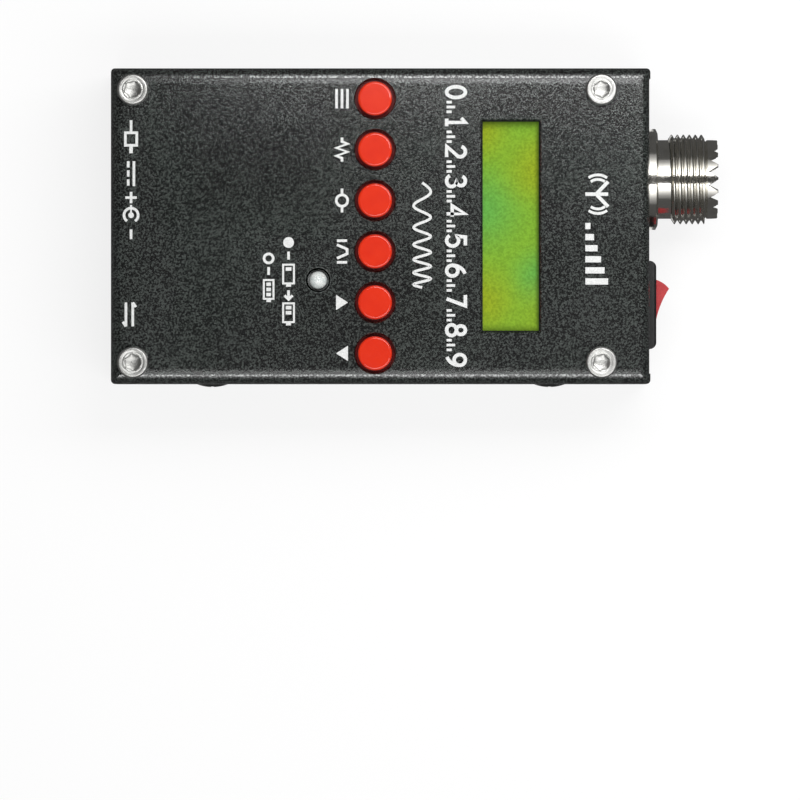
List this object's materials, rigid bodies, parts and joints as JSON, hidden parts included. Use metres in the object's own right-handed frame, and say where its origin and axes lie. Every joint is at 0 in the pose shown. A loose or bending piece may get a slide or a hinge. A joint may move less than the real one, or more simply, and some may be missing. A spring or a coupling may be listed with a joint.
{
  "type": "antenna analyzer",
  "caption": "Hand-held antenna analyzer in a folded sheet case, with a row of round keys, a small display, a charge lamp, a threaded antenna socket and a rocker power switch.",
  "frame": {"origin": "middle of the case's length and width on its flat back face, which is the face it rests on", "axes": "+X along the case towards the antenna socket, +Y along the row of keys towards the long side next to the antenna socket, +Z out of the front face"},
  "size_m": [0.1071, 0.0566, 0.026],
  "materials": {
    "black_powder_coat": "fine textured powder coat, satin black-grey",
    "bright_steel": "bright zinc plate",
    "blackened_steel": "black, satin",
    "brass": "turned",
    "red_key_plastic": "moulded, soft gloss",
    "black_plastic": "moulded, satin",
    "milky_lens": "milky clear resin",
    "white_nylon": "moulded",
    "tinned_metal": "tin plate",
    "black_foam": "closed-cell foam",
    "display_glass": "lit yellow-green liquid crystal cell behind clear glass",
    "circuit_board": "green solder mask",
    "chip_resin": "moulded resin",
    "ferrite": "sintered",
    "can_aluminium": "drawn can",
    "nickel_plate": "bright nickel plate over turned brass",
    "white_insulator": "turned fluoropolymer",
    "gilt_contact": "gilt",
    "copper_wire": "bare copper",
    "red_rocker_plastic": "moulded, slightly translucent red",
    "red_wire": "insulated wire",
    "cell_foil": "foil pouch",
    "white_tape": "double-sided tape"
  },
  "bodies": {
    "case": {"front_shell": "black_powder_coat", "rear_shell": "black_powder_coat", "face_screws": "bright_steel", "side_screws": "blackened_steel", "clinch_nuts": "bright_steel", "board_pillars": "brass", "board_screws": "bright_steel", "key_switch_bases": "black_plastic", "key_switch_covers": "bright_steel", "charge_lamp": "milky_lens", "lamp_spacer": "white_nylon", "lamp_leads": "tinned_metal", "display_gasket": "black_foam", "display_glass": "display_glass", "display_light_box": "white_nylon", "display_pins": "tinned_metal", "main_board": "circuit_board", "controller_chip": "chip_resin", "synthesizer_chip": "chip_resin", "data_chip": "chip_resin", "clock_can": "bright_steel", "supply_coil": "ferrite", "smoothing_capacitors": "can_aluminium", "bridge_core": "ferrite", "antenna_socket": "nickel_plate", "antenna_insulator": "white_insulator", "antenna_contact": "gilt_contact", "antenna_nut": "nickel_plate", "antenna_washer": "nickel_plate", "ground_tag": "tinned_metal", "antenna_lead": "copper_wire", "switch_frame": "black_plastic", "switch_contact": "gilt_contact", "switch_terminals": "tinned_metal", "switch_leads": "red_wire", "power_jack": "black_plastic", "power_jack_pin": "nickel_plate", "power_jack_spring": "tinned_metal", "data_socket_shell": "tinned_metal", "data_socket_tongue": "black_plastic", "battery_cells": "cell_foil", "battery_tape": "white_tape", "battery_guard": "circuit_board", "battery_plug": "white_nylon", "battery_leads": "red_wire", "foam_pad": "black_foam"},
    "key_1": {"key_cap_1": "red_key_plastic", "key_plunger_1": "black_plastic"},
    "key_2": {"key_cap_2": "red_key_plastic", "key_plunger_2": "black_plastic"},
    "key_3": {"key_cap_3": "red_key_plastic", "key_plunger_3": "black_plastic"},
    "key_4": {"key_cap_4": "red_key_plastic", "key_plunger_4": "black_plastic"},
    "key_5": {"key_cap_5": "red_key_plastic", "key_plunger_5": "black_plastic"},
    "key_6": {"key_cap_6": "red_key_plastic", "key_plunger_6": "black_plastic"},
    "rocker": {"power_rocker": "red_rocker_plastic"}
  },
  "joints": [
    {"name": "key_1_press", "type": "slide", "parent": "case", "child": "key_1", "axis": [0, 0, -1], "range_m": [0, 0.00025], "stiffness_N_per_m": 4000},
    {"name": "key_2_press", "type": "slide", "parent": "case", "child": "key_2", "axis": [0, 0, -1], "range_m": [0, 0.00025], "stiffness_N_per_m": 4000},
    {"name": "key_3_press", "type": "slide", "parent": "case", "child": "key_3", "axis": [0, 0, -1], "range_m": [0, 0.00025], "stiffness_N_per_m": 4000},
    {"name": "key_4_press", "type": "slide", "parent": "case", "child": "key_4", "axis": [0, 0, -1], "range_m": [0, 0.00025], "stiffness_N_per_m": 4000},
    {"name": "key_5_press", "type": "slide", "parent": "case", "child": "key_5", "axis": [0, 0, -1], "range_m": [0, 0.00025], "stiffness_N_per_m": 4000},
    {"name": "key_6_press", "type": "slide", "parent": "case", "child": "key_6", "axis": [0, 0, -1], "range_m": [0, 0.00025], "stiffness_N_per_m": 4000},
    {"name": "power_rocker_tilt", "type": "hinge", "parent": "case", "child": "rocker", "pos_m": [0.0473, -0.0138, 0.012], "axis": [0, 0, 1], "range_deg": [0, 38]}
  ]
}
